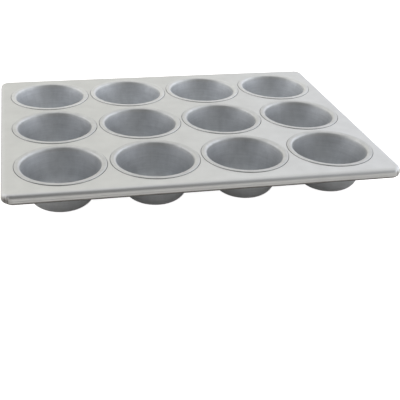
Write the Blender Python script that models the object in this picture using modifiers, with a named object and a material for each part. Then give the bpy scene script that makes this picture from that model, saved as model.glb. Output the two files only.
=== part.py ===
"""Muffin pan: drawn cups locked into a wire-edged sheet frame.

The pan is pressed from coated sheet steel. The cups are drawn one by one, and each
is held in a hole of the frame by a folded lock seam: the cup's rim turns down and
inwards into a foot, and the hole's edge turns down, in under the foot and back over
it. The frame's outer edge bends down and rolls round a steel wire.

Lengths are in metres, angles in radians. The origin is on the plane that the cups
stand on, under the middle of the pan. +X runs along a row of cups, +Y to the back
row and +Z up.
"""

import math

import bmesh
import bpy
from mathutils import Matrix, Vector

# How many cups
CUP_COLUMNS = 4
ROW_NAMES = ("front", "middle", "back")

# Sheet and wire
FRAME_SHEET = 0.0006
CUP_SHEET = 0.0005
WIRE_DIAMETER = 0.0044

# Cup, measured on its inner face
CUP_MOUTH_RADIUS = 0.0452
CUP_FLOOR_RADIUS = 0.0337
CUP_DEPTH = 0.0469
MOUTH_BEND_RADIUS = 0.0035
FLOOR_FILLET_RADIUS = 0.016

# Ring of the cup, from its mouth to the middle of its seam, and how far it stands above the frame
CUP_RING_WIDTH = 0.0063
RING_RISE = 0.0008

# Lock seam
SEAM_GAP = 0.0003
SEAM_DEPTH = 0.004
FOOT_WIDTH = 0.0022
HEM_ANGLE = math.radians(65.0)
HEM_LAP = 0.0004

# Flat metal of the frame beside the seams
COLUMN_BRIDGE = 0.0035
ROW_BRIDGE = 0.005
SIDE_MARGIN = 0.01375
END_MARGIN = 0.016

# Rolled edge of the frame, its height from the plate to the underside of the roll
RIM_HEIGHT = 0.0112
RIM_BEND_RADIUS = 0.0058
RIM_CORNER_RADIUS = 0.012
RIM_BEAD_PROUD = 0.0004
RIM_ROLL_END = math.radians(250.0)
WIRE_GAP = 0.0004

# Facets of the round shapes
TURN_STEPS = 24
FILLET_STEPS = 2
MOUTH_STEPS = 1
CORNER_STEPS = 4
RIM_BEND_STEPS = 2
RIM_ROLL_STEPS = 8
WIRE_BEVEL_RESOLUTION = 2

# Modifiers and shading
MERGE_DISTANCE = 0.00001
SHARP_ANGLE = math.radians(50.0)

# Colour and roughness of each metal
FRAME_FINISH = ((0.66, 0.66, 0.65), 0.42)
CUP_FINISH = ((0.5, 0.51, 0.53), 0.45)
WIRE_FINISH = ((0.45, 0.45, 0.46), 0.4)

# Sizes that follow from the ones above
TOP = CUP_SHEET + CUP_DEPTH
PLATE_LEVEL = TOP - RING_RISE
SEAM_RADIUS = CUP_MOUTH_RADIUS + CUP_RING_WIDTH
CUP_LEG_RADIUS = SEAM_RADIUS - SEAM_GAP / 2
COLLAR_RADIUS = SEAM_RADIUS + SEAM_GAP / 2
FOOT_LEVEL = TOP - SEAM_DEPTH
FOOT_END_RADIUS = CUP_LEG_RADIUS - FOOT_WIDTH
COLUMN_PITCH = 2 * SEAM_RADIUS + COLUMN_BRIDGE
ROW_PITCH = 2 * SEAM_RADIUS + ROW_BRIDGE
CUP_ROWS = len(ROW_NAMES)
HALF_LENGTH = (CUP_COLUMNS - 1) / 2 * COLUMN_PITCH + SEAM_RADIUS + SIDE_MARGIN
HALF_WIDTH = (CUP_ROWS - 1) / 2 * ROW_PITCH + SEAM_RADIUS + END_MARGIN
BEAD_RADIUS = WIRE_DIAMETER / 2 + WIRE_GAP + FRAME_SHEET
WIRE_LEVEL = PLATE_LEVEL - RIM_HEIGHT + BEAD_RADIUS


def clear_scene():
    """Remove every object of the scene."""
    for obj in list(bpy.data.objects):
        bpy.data.objects.remove(obj, do_unlink=True)


def new_collection(name):
    """Make a collection of this name in the scene."""
    collection = bpy.data.collections.new(name)
    bpy.context.scene.collection.children.link(collection)
    return collection


def metal(name, colour, roughness):
    """Make a metal material of this colour and roughness."""
    material = bpy.data.materials.new(name)
    material.use_nodes = True
    shader = material.node_tree.nodes["Principled BSDF"]
    shader.inputs["Base Color"].default_value = (*colour, 1.0)
    shader.inputs["Metallic"].default_value = 1.0
    shader.inputs["Roughness"].default_value = roughness
    material.diffuse_color = (*colour, 1.0)
    return material


def rounded_corner(start, corner, end, radius, steps):
    """Points of the arc that rounds the corner between two straight lines."""
    start, corner, end = Vector(start), Vector(corner), Vector(end)
    to_start = (start - corner).normalized()
    to_end = (end - corner).normalized()
    half_opening = to_start.angle(to_end) / 2
    centre = corner + (to_start + to_end).normalized() * (radius / math.sin(half_opening))
    first = corner + to_start * (radius / math.tan(half_opening)) - centre
    last = corner + to_end * (radius / math.tan(half_opening)) - centre
    turn = math.pi - 2 * half_opening
    points = []
    for step in range(steps + 1):
        share = step / steps
        before = math.sin((1 - share) * turn) / math.sin(turn)
        after = math.sin(share * turn) / math.sin(turn)
        points.append(tuple(centre + first * before + last * after))
    return points


def cup_profile():
    """Inner face of a cup from the middle of its floor to the end of its foot, as (radius, height)."""
    floor_middle = (0.0, CUP_SHEET)
    floor_edge = (CUP_FLOOR_RADIUS, CUP_SHEET)
    mouth = (CUP_MOUTH_RADIUS, TOP)
    ring_edge = (CUP_LEG_RADIUS, TOP)
    return [
        floor_middle,
        *rounded_corner(floor_middle, floor_edge, mouth, FLOOR_FILLET_RADIUS, FILLET_STEPS),
        *rounded_corner(floor_edge, mouth, ring_edge, MOUTH_BEND_RADIUS, MOUTH_STEPS),
        ring_edge,
        (CUP_LEG_RADIUS, FOOT_LEVEL),
        (FOOT_END_RADIUS, FOOT_LEVEL),
    ]


def hem_profile():
    """Edge of a hole, from under the plate to the end of its hem, as (radius, height)."""
    shelf_level = FOOT_LEVEL - SEAM_GAP
    foot_height = SEAM_GAP + CUP_SHEET
    fold_radius = FOOT_END_RADIUS - foot_height / math.tan(HEM_ANGLE) - SEAM_GAP / math.sin(HEM_ANGLE)
    end_radius = FOOT_END_RADIUS + HEM_LAP
    end_level = shelf_level + (end_radius - fold_radius) * math.tan(HEM_ANGLE)
    return [
        (COLLAR_RADIUS, shelf_level),
        (fold_radius, shelf_level),
        (end_radius, end_level),
    ]


def rim_profile():
    """Outer face of the rim from the plate's bend to the end of the roll, as (inset, height).

    The inset is counted from the pan's outermost line.
    """
    profile = []
    for step in range(1, RIM_BEND_STEPS + 1):
        turned = math.pi / 2 * step / RIM_BEND_STEPS
        inset = RIM_BEAD_PROUD + RIM_BEND_RADIUS * (1 - math.sin(turned))
        profile.append((inset, PLATE_LEVEL - RIM_BEND_RADIUS * (1 - math.cos(turned))))
    roll_start = -math.acos(1 - RIM_BEAD_PROUD / BEAD_RADIUS)
    for step in range(RIM_ROLL_STEPS + 1):
        turned = roll_start + (RIM_ROLL_END - roll_start) * step / RIM_ROLL_STEPS
        inset = BEAD_RADIUS * (1 - math.cos(turned))
        profile.append((inset, WIRE_LEVEL - BEAD_RADIUS * math.sin(turned)))
    return profile


def cup_centres():
    """Name and centre of every cup, row by row from the front."""
    centres = []
    for row, row_name in enumerate(ROW_NAMES):
        for column in range(CUP_COLUMNS):
            x = (column - (CUP_COLUMNS - 1) / 2) * COLUMN_PITCH
            y = (row - (CUP_ROWS - 1) / 2) * ROW_PITCH
            centres.append((f"cup_{row_name}_{column + 1}", Vector((x, y, 0.0))))
    return centres


def circle_points(centre, radius):
    """Points of a circle round the centre, one for each facet of a cup."""
    angles = [2 * math.pi * step / TURN_STEPS for step in range(TURN_STEPS)]
    return [(centre.x + radius * math.cos(a), centre.y + radius * math.sin(a)) for a in angles]


def corner_centre(point):
    """Centre, at the height of the point, of the round corner that lies nearest to it."""
    x = math.copysign(HALF_LENGTH - RIM_CORNER_RADIUS, point.x)
    y = math.copysign(HALF_WIDTH - RIM_CORNER_RADIUS, point.y)
    return Vector((x, y, point.z))


def rounded_rectangle(inset):
    """Points of the pan's outline, drawn in by the inset, as straight sides and round corners."""
    points = []
    for quarter, (side_x, side_y) in enumerate(((1, 1), (-1, 1), (-1, -1), (1, -1))):
        centre = corner_centre(Vector((side_x, side_y, 0.0)))
        for step in range(CORNER_STEPS + 1):
            angle = math.pi / 2 * (quarter + step / CORNER_STEPS)
            x = centre.x + (RIM_CORNER_RADIUS - inset) * math.cos(angle)
            y = centre.y + (RIM_CORNER_RADIUS - inset) * math.sin(angle)
            points.append((x, y))
    return points


def add_loop(curve, points, height):
    """Add a closed loop of straight lines at this height to a curve."""
    spline = curve.splines.new("POLY")
    spline.points.add(len(points) - 1)
    for spline_point, (x, y) in zip(spline.points, points):
        spline_point.co = (x, y, height, 1.0)
    spline.use_cyclic_u = True


def evaluated_mesh(obj, name):
    """Read an object's finished shape as a new mesh, and remove the object."""
    graph = bpy.context.evaluated_depsgraph_get()
    mesh = bpy.data.meshes.new_from_object(obj.evaluated_get(graph))
    mesh.name = name
    bpy.data.objects.remove(obj, do_unlink=True)
    return mesh


def smooth(mesh):
    """Shade a mesh smooth, with its folds kept sharp."""
    mesh.shade_smooth()
    mesh.set_sharp_from_angle(angle=SHARP_ANGLE)


def add_wall(obj, thickness):
    """Give the sheet its thickness, on the side away from its finished face."""
    wall = obj.modifiers.new("wall", "SOLIDIFY")
    wall.thickness = thickness
    wall.offset = -1.0
    wall.use_even_offset = True
    wall.use_quality_normals = True


def grow_edge(bm, edges, centre_of, radius, height):
    """Extend a closed edge by one strip of faces, and return the strip's far edges.

    Each far corner lies at this height and at this radius from its own centre.
    """
    grown = bmesh.ops.extrude_edge_only(bm, edges=edges)["geom"]
    for vertex in (item for item in grown if isinstance(item, bmesh.types.BMVert)):
        centre = centre_of(vertex.co)
        spoke = (vertex.co - centre).to_2d().normalized() * radius
        vertex.co = (centre.x + spoke.x, centre.y + spoke.y, height)
    return [item for item in grown if isinstance(item, bmesh.types.BMEdge) and item.is_boundary]


def flat_plate(collection):
    """The frame's flat plate, with its round holes and its outer edge where the bend starts."""
    curve = bpy.data.curves.new("plate_outline", "CURVE")
    curve.dimensions = "2D"
    curve.fill_mode = "FRONT"
    add_loop(curve, rounded_rectangle(RIM_BEAD_PROUD + RIM_BEND_RADIUS), 0.0)
    for _, centre in cup_centres():
        add_loop(curve, circle_points(centre, COLLAR_RADIUS), 0.0)
    outline = bpy.data.objects.new("plate_outline", curve)
    collection.objects.link(outline)
    return evaluated_mesh(outline, "plate")


def fold_hole_edge(bm, centre):
    """Fold the edge of one hole down and round the foot of its cup."""

    def on_hole(vertex):
        reach = (vertex.co - centre).to_2d().length
        return abs(reach - COLLAR_RADIUS) < MERGE_DISTANCE

    edges = [edge for edge in bm.edges if edge.is_boundary and all(map(on_hole, edge.verts))]
    for radius, height in hem_profile():
        edges = grow_edge(bm, edges, lambda point: centre, radius, height)


def roll_outer_edge(bm, edges):
    """Bend the plate's outer edge down and roll it round the wire."""
    for inset, height in rim_profile():
        edges = grow_edge(bm, edges, corner_centre, RIM_CORNER_RADIUS - inset, height)


def build_frame(collection):
    """The sheet frame: plate, hemmed holes, and rolled rim."""
    mesh = flat_plate(collection)
    mesh.transform(Matrix.Translation((0.0, 0.0, PLATE_LEVEL)))
    bm = bmesh.new()
    bm.from_mesh(mesh)
    bmesh.ops.remove_doubles(bm, verts=bm.verts, dist=MERGE_DISTANCE)
    outside = HALF_LENGTH - RIM_CORNER_RADIUS, HALF_WIDTH - RIM_CORNER_RADIUS
    outer_edges = [
        edge
        for edge in bm.edges
        if edge.is_boundary
        and all(abs(v.co.x) > outside[0] or abs(v.co.y) > outside[1] for v in edge.verts)
    ]
    for _, centre in cup_centres():
        fold_hole_edge(bm, centre)
    roll_outer_edge(bm, outer_edges)
    bm.to_mesh(mesh)
    bm.free()
    mesh.materials.clear()
    mesh.materials.append(metal("frame_sheet", *FRAME_FINISH))
    smooth(mesh)
    frame = bpy.data.objects.new("frame", mesh)
    collection.objects.link(frame)
    add_wall(frame, FRAME_SHEET)


def build_rim_wire(collection):
    """The closed loop of wire inside the rolled rim."""
    curve = bpy.data.curves.new("rim_wire", "CURVE")
    curve.dimensions = "3D"
    curve.bevel_depth = WIRE_DIAMETER / 2
    curve.bevel_resolution = WIRE_BEVEL_RESOLUTION
    curve.use_fill_caps = True
    add_loop(curve, rounded_rectangle(BEAD_RADIUS), WIRE_LEVEL)
    curve.materials.append(metal("rim_wire_steel", *WIRE_FINISH))
    collection.objects.link(bpy.data.objects.new("rim_wire", curve))


def cup_mesh(collection):
    """The shape of one cup: its inner face turned round the axis and given its wall."""
    profile = [(radius, 0.0, height) for radius, height in cup_profile()]
    face = bpy.data.meshes.new("cup_profile")
    face.from_pydata(profile, [(i, i + 1) for i in range(len(profile) - 1)], [])
    cup = bpy.data.objects.new("cup_profile", face)
    collection.objects.link(cup)
    turn = cup.modifiers.new("turn", "SCREW")
    turn.steps = TURN_STEPS
    turn.render_steps = TURN_STEPS
    turn.use_merge_vertices = True
    turn.merge_threshold = MERGE_DISTANCE
    add_wall(cup, CUP_SHEET)
    return evaluated_mesh(cup, "cup")


def build_cups(collection):
    """Every cup in its hole, all of one shape."""
    mesh = cup_mesh(collection)
    mesh.materials.append(metal("cup_sheet", *CUP_FINISH))
    smooth(mesh)
    for name, centre in cup_centres():
        cup = bpy.data.objects.new(name, mesh)
        cup.location = centre
        collection.objects.link(cup)


def main():
    """Build the whole pan."""
    clear_scene()
    pan = new_collection("muffin_pan")
    build_frame(pan)
    build_rim_wire(pan)
    build_cups(pan)


main()
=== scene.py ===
"""Muffin pan: twelve drawn steel cups, locked by folded seams into a sheet frame.

The frame's outer edge is rolled round a wire. Every piece is worked out in metres in
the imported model's own space: +X runs along a row of cups, +Y to the back row and +Z
up, and z = 0 is the plane that the cups stand on.
"""

import logging
import math
from collections.abc import Callable, Sequence
from dataclasses import dataclass, field
from enum import Enum
from typing import Any

import bmesh
import bpy
import numpy as np
import numpy.typing as npt
from mathutils import Matrix, Vector


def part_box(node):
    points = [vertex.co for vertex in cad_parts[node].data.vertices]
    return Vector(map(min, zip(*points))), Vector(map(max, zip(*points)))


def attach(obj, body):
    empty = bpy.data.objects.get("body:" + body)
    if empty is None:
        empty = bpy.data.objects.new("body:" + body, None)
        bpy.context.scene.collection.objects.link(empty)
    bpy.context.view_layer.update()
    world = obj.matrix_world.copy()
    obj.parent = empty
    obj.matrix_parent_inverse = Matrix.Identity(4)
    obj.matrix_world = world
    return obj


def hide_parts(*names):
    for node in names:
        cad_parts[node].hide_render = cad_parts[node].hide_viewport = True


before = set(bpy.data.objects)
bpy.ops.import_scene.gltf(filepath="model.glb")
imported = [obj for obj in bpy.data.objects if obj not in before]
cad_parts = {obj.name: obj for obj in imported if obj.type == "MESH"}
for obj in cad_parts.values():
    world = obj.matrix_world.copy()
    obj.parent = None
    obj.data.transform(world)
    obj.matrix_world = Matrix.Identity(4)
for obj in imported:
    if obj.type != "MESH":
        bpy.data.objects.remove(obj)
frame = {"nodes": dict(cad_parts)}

Array = npt.NDArray[np.float64]
Faces = npt.NDArray[np.int64]
Tone = tuple[float, float, float]
Tree = bpy.types.NodeTree
Socket = bpy.types.NodeSocket
Sockets = bpy.types.bpy_prop_collection
Material = bpy.types.Material

BODY = "root"
FULL_TURN = 2.0 * math.pi
MICRON = 0.000001
SHARP_EDGE = math.radians(50.0)
WHITE = (1.0, 1.0, 1.0, 1.0)
GREY = (0.6, 0.6, 0.6, 1.0)

# the sockets of Blender's mix node that carry the share, the two colours and the mixture
MIX_SHARE, MIX_FIRST, MIX_SECOND, MIX_RESULT = 0, 6, 7, 2

log = logging.getLogger("muffin_pan")


class Row(Enum):
    """The rows of cups, from the front of the pan to its back."""

    FRONT = "front"
    MIDDLE = "middle"
    BACK = "back"


class Slot(Enum):
    """Names for the pieces' material slots, which nothing in this script uses."""

    FRAME = "frame_sheet"
    CUP = "cup_sheet"
    WIRE = "rim_wire"


# section lines


@dataclass(frozen=True)
class SectionLine:
    """The line of a sheet's finished face in a section, with a mark at each bend.

    Attributes:
        points: One (reach, height) a row. The finished face lies on the left of the travel.
        bends: Rises to 1 in the middle of a bend to the right, falls to -1 in one to the left.
    """

    points: Array
    bends: Array

    def behind(self, thickness: float) -> Array:
        """Work out the line of the sheet's other face.

        Each point moves back by the thickness along its mitred normal, which is the sum
        of the normals of the runs on its two sides, divided by one plus their product.

        Args:
            thickness: Thickness of the sheet.

        Returns:
            One (reach, height) a row, in the order of the finished face.
        """
        run = np.diff(self.points, axis=0)
        run /= np.linalg.norm(run, axis=1, keepdims=True)
        normal = np.stack([-run[:, 1], run[:, 0]], axis=1)
        before = np.vstack([normal[:1], normal])
        after = np.vstack([normal, normal[-1:]])
        share = 1.0 + (before * after).sum(axis=1, keepdims=True)
        return self.points - thickness * (before + after) / share

    def round_the_sheet(self, thickness: float) -> tuple[Array, Array]:
        """Go along the finished face, over the sheet's cut end and back behind it.

        Args:
            thickness: Thickness of the sheet.

        Returns:
            The points, and how far each one lies on a bend that stands proud, 0 to 1.
        """
        points = np.vstack([self.points, self.behind(thickness)[::-1]])
        proud = np.concatenate([self.bends, -self.bends[::-1]])
        return points, np.clip(proud, 0.0, 1.0)


def arc(centre: Array, first: Array, last: Array, steps: int) -> Array:
    """Points of an arc of less than half a turn, its last point left out.

    A spoke at the share s of the turn is first · sin((1 - s) turn) / sin(turn) plus
    last · sin(s turn) / sin(turn), which keeps the radius and the pace even.

    Args:
        centre: Centre of the arc.
        first: Spoke from the centre to the first point.
        last: Spoke from the centre to the last point.
        steps: Number of equal steps from the first point to the last.

    Returns:
        One point a row.
    """
    cosine = float(first @ last) / float(first @ first)
    turn = math.acos(min(1.0, max(-1.0, cosine)))
    share = np.linspace(0.0, 1.0, steps, endpoint=False)[:, None]
    way = np.sin((1.0 - share) * turn) * first + np.sin(share * turn) * last
    return centre + way / math.sin(turn)


def bent_line(corners: Sequence[tuple[float, float, float, int]], run_step: float) -> SectionLine:
    """Draw a line of straight runs whose corners are rounded.

    A rounded corner is the arc that touches both runs: its centre lies on the corner's
    bisector, at radius / sin(half the opening), and its ends lie at radius / tan(half
    the opening) from the corner.

    Args:
        corners: Reach, height, bend radius and arc steps of each corner. The first and
            last have no bend.
        run_step: Longest step along a straight run.

    Returns:
        The line and its bends.
    """
    spots = np.array([corner[:2] for corner in corners])
    pieces: list[Array] = []
    marks: list[Array] = []
    here = spots[0]
    for index in range(1, len(corners)):
        corner, radius, steps = spots[index], corners[index][2], corners[index][3]
        rounded = radius > 0.0 and index < len(corners) - 1
        stop, centre, end = corner, corner, corner
        if rounded:
            back = (spots[index - 1] - corner) / np.linalg.norm(spots[index - 1] - corner)
            onward = (spots[index + 1] - corner) / np.linalg.norm(spots[index + 1] - corner)
            half = math.acos(float(back @ onward)) / 2.0
            bisector = (back + onward) / np.linalg.norm(back + onward)
            stop = corner + back * radius / math.tan(half)
            end = corner + onward * radius / math.tan(half)
            centre = corner + bisector * radius / math.sin(half)
        length = float(np.linalg.norm(stop - here))
        if length > MICRON:
            share = np.linspace(0.0, 1.0, math.ceil(length / run_step), endpoint=False)[:, None]
            pieces.append(here + share * (stop - here))
            marks.append(np.zeros(len(share)))
        if rounded:
            left = float(back[0] * onward[1] - back[1] * onward[0]) < 0.0
            pieces.append(arc(centre, stop - centre, end - centre, steps))
            swell = np.sin(np.linspace(0.0, math.pi, steps, endpoint=False))
            marks.append(-swell if left else swell)
        here = end
    pieces.append(here[None, :])
    marks.append(np.zeros(1))
    return SectionLine(np.vstack(pieces), np.concatenate(marks))


# meshes


def spokes(angles: Array) -> Array:
    """Unit vectors in plan at these angles from +X."""
    return np.stack([np.cos(angles), np.sin(angles)], axis=-1)


def circle(steps: int) -> Array:
    """Unit vectors in plan at even steps of one full turn, from +X."""
    return spokes(FULL_TURN * np.arange(steps) / steps)


def lifted(plan: Array, heights: Array | float) -> Array:
    """Give a grid of points in plan their heights, spread over its rows and columns."""
    return np.concatenate([plan, np.broadcast_to(heights, (*plan.shape[:2], 1))], axis=-1)


def grid_quads(rows: int, columns: int) -> Faces:
    """Join the points of a grid that closes on itself, stored row by row.

    Quad (i, j) joins point i · columns + j with its neighbours one column on, one row
    and one column on, and one row on. The last column is joined to the first.

    Args:
        rows: Number of rows.
        columns: Number of columns.

    Returns:
        Four point numbers a row.
    """
    i, j = np.meshgrid(np.arange(rows - 1), np.arange(columns), indexing="ij")
    near, far, beside = i * columns, (i + 1) * columns, (j + 1) % columns
    return np.stack([near + j, near + beside, far + beside, far + j], axis=-1).reshape(-1, 4)


@dataclass
class Shell:
    """The points, faces and attributes of a mesh while it is put together.

    One field holds painted light: how much lighter than its finish the steel is painted,
    as a share, for the whole piece or for each point.
    """

    points: list[Array] = field(default_factory=list)
    quads: list[Faces] = field(default_factory=list)
    triangles: list[Faces] = field(default_factory=list)
    rub: list[Array] = field(default_factory=list)
    # painted shade: how much dark cover is laid on each point, in gaps, creases and under the roll
    painted_shade: list[Array] = field(default_factory=list)
    wrap: list[Array] = field(default_factory=list)
    # painted light, added to the steel's colour by the coat
    bright: float | Array = 0.0
    count: int = 0

    def add_points(self, points: Array, rub: Array, painted_shade: Array, wrap: Array | None = None) -> int:
        """Add points with their attributes.

        Args:
            points: One point a row.
            rub: How far each point stands where hands and shelves rub, 0 to 1.
            painted_shade: How much painted shade each point gets, 0 to 1.
            wrap: Place of each point on the sheet, for patterns that follow it.

        Returns:
            The number of the first point added.
        """
        start = self.count
        self.points.append(points)
        self.rub.append(rub)
        self.painted_shade.append(painted_shade)
        self.wrap.append(points if wrap is None else wrap)
        self.count += len(points)
        return start

    def add_grid(
        self,
        grid: Array,
        rub: Array | None = None,
        painted_shade: Array | None = None,
        wrap: Array | None = None,
    ) -> int:
        """Add a grid of points whose last column meets its first, and its faces.

        Args:
            grid: Points as rows × columns × 3.
            rub: Rub of each row, or of each point as rows × columns, or nothing for none.
            painted_shade: Painted shade, in the same way.
            wrap: Place of each point on the sheet, as rows × columns × 3.

        Returns:
            The number of the first point added.
        """
        rows, columns = grid.shape[:2]
        marks = []
        for mark in (rub, painted_shade):
            rowwise = np.zeros((rows, 1)) if mark is None else mark.reshape(rows, -1)
            marks.append(np.broadcast_to(rowwise, (rows, columns)).reshape(-1))
        spread = None if wrap is None else wrap.reshape(-1, 3)
        start = self.add_points(grid.reshape(-1, 3), *marks, spread)
        self.quads.append(grid_quads(rows, columns) + start)
        return start

    def add_cap(self, pole: int, ring: int, columns: int) -> None:
        """Close a ring of points onto a pole with a fan of triangles."""
        j = ring + np.arange(columns)
        self.triangles.append(np.stack([np.full(columns, pole), j, np.roll(j, -1)], axis=-1))

    def move(self, *steps: Callable[[Array], Array]) -> None:
        """Pass every point through these changes, one after the other."""
        for step in steps:
            self.points = [step(points) for points in self.points]

    def mesh(self, name: str) -> bpy.types.Mesh:
        """Make the mesh: doubles merged, faces outwards, smooth but for its cut edges.

        Args:
            name: Name of the mesh.

        Returns:
            The mesh.
        """
        points = np.vstack(self.points)
        quads = np.vstack(self.quads)
        triangles = np.vstack(self.triangles) if self.triangles else np.zeros((0, 3), np.int64)
        corners = np.concatenate([quads.ravel(), triangles.ravel()])
        fans = quads.size + 3 * np.arange(len(triangles))
        starts = np.concatenate([4 * np.arange(len(quads)), fans])
        mesh = bpy.data.meshes.new(name)
        mesh.vertices.add(len(points))
        mesh.vertices.foreach_set("co", points.astype(np.float32).ravel())
        mesh.loops.add(len(corners))
        mesh.loops.foreach_set("vertex_index", corners.astype(np.int32))
        mesh.polygons.add(len(starts))
        mesh.polygons.foreach_set("loop_start", starts.astype(np.int32))
        mesh.update(calc_edges=True)
        # the painted light is stored as a mesh attribute for the coat
        bright = [np.broadcast_to(self.bright, len(points))]
        for label, mark in (("rub", self.rub), ("painted_shade", self.painted_shade), ("bright", bright)):
            layer = mesh.attributes.new(label, "FLOAT", "POINT")
            layer.data.foreach_set("value", np.concatenate(mark).astype(np.float32))
        wrap = mesh.attributes.new("wrap", "FLOAT_VECTOR", "POINT")
        wrap.data.foreach_set("vector", np.vstack(self.wrap).astype(np.float32).ravel())
        work = bmesh.new()
        work.from_mesh(mesh)
        bmesh.ops.remove_doubles(work, verts=work.verts, dist=MICRON)
        bmesh.ops.recalc_face_normals(work, faces=work.faces)
        if work.calc_volume(signed=True) < 0.0:
            bmesh.ops.reverse_faces(work, faces=work.faces)
        work.to_mesh(mesh)
        work.free()
        mesh.shade_smooth()
        mesh.set_sharp_from_angle(angle=SHARP_EDGE)
        return mesh


def place(name: str, shell: Shell, node: str, finish: Material) -> None:
    """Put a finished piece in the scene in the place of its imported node.

    Args:
        name: Name of the piece and its mesh.
        shell: Its shell, already in place.
        node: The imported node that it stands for.
        finish: Its material.
    """
    mesh = shell.mesh(name)
    mesh.materials.append(finish)
    piece = bpy.data.objects.new(name, mesh)
    bpy.context.scene.collection.objects.link(piece)
    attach(piece, BODY)
    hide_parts(node)
    log.info("%s: %d faces, replaces %s", name, len(mesh.polygons), node)


# sizes shared by the pieces


@dataclass(frozen=True)
class LockSeam:
    """The folded seam that holds a cup in the frame, in metres and radians."""

    radius: float = 0.0515
    gap: float = 0.0003
    rise: float = 0.0008
    depth: float = 0.004
    foot_width: float = 0.0022
    hem_angle: float = math.radians(65.0)
    hem_lap: float = 0.0004
    cup_top: float = 0.0474
    cup_sheet: float = 0.0005

    @property
    def leg_radius(self) -> float:
        """Radius of the outer face of the cup's turned-down edge."""
        return self.radius - self.gap / 2.0

    @property
    def collar_radius(self) -> float:
        """Radius of the inner face of the frame's turned-down hole edge."""
        return self.radius + self.gap / 2.0

    @property
    def plate_level(self) -> float:
        """Height of the frame's top face, a little under the cups' rings."""
        return self.cup_top - self.rise

    @property
    def foot_level(self) -> float:
        """Height of the underside of the cup's foot."""
        return self.cup_top - self.depth

    @property
    def foot_end_radius(self) -> float:
        """Radius at which the cup's foot ends."""
        return self.leg_radius - self.foot_width

    def painted_shade(self, radii: Array, heights: Array, wall: float) -> Array:
        """Painted shade on a sheet of the seam, darkening the narrow gap between the two.

        It grows from nothing to 1 over the seam's gap, both towards the wall that faces
        the gap and down from the frame's top face.

        Args:
            radii: Radius of each row of the sheet's section.
            heights: Height of each row.
            wall: Radius of this sheet's face of the gap.

        Returns:
            The painted shade of each row, 0 to 1.
        """
        near = np.clip(1.0 - np.abs(radii - wall) / self.gap, 0.0, 1.0)
        deep = np.clip((self.plate_level + self.gap / 2.0 - heights) / self.gap, 0.0, 1.0)
        return near * deep


@dataclass(frozen=True)
class Layout:
    """Where the cups stand, in metres."""

    columns: int = 4
    column_pitch: float = 0.1065
    row_pitch: float = 0.108

    def centre(self, column: int, row: int) -> Array:
        """Centre of a cup in plan, with column and row counted from 0."""
        steps = np.array([column, row]) - np.array([self.columns - 1, len(Row) - 1]) / 2.0
        return steps * np.array([self.column_pitch, self.row_pitch])

    def places(self) -> list[tuple[str, int, int]]:
        """List the cups from the front left one to the back right one.

        Returns:
            Node name, column and row of every cup.
        """
        return [
            (f"cup_{row.value}_{column + 1}", column, number)
            for number, row in enumerate(Row)
            for column in range(self.columns)
        ]


@dataclass(frozen=True)
class SheetUnevenness:
    """The long, shallow waves of the pan's top, and its sagging back left corner, in metres.

    Each wave is its turn per metre along X and along Y, its start and its weight.
    """

    depth: float = 0.0002
    top: float = 0.0474
    sag: float = 0.0012
    sag_from: tuple[float, float] = (0.11, 0.06)
    sag_to: tuple[float, float] = (-0.225, 0.1755)
    waves: tuple[tuple[float, float, float, float], ...] = (
        (34.0, 9.0, 0.7, 0.4),
        (-12.0, 41.0, 1.9, 0.35),
        (57.0, -38.0, 3.1, 0.25),
    )

    def settle(self, points: Array) -> Array:
        """Lower the points by the waves and the sag.

        The waves' drop is the depth times the mean of one plus each sine wave, weighted,
        over two. The sag grows evenly to the left and with the square of the way to the
        back. Both fade with the square of the height, so the cups' floors stay flat.

        Args:
            points: One point a row.

        Returns:
            The lowered points.
        """
        table = np.array(self.waves)
        phase = points[:, :2] @ table[:, :2].T + table[:, 2]
        swell = ((1.0 + np.sin(phase)) * table[:, 3]).sum(axis=1) / (2.0 * table[:, 3].sum())
        start, end = np.array(self.sag_from), np.array(self.sag_to)
        leftward, backward = np.clip((points[:, :2] - start) / (end - start), 0.0, 1.0).T
        drop = self.depth * swell + self.sag * leftward * backward**2
        lowered = points.copy()
        lowered[:, 2] -= drop * np.clip(points[:, 2] / self.top, 0.0, 1.0) ** 2
        return lowered


# shader helpers


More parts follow.
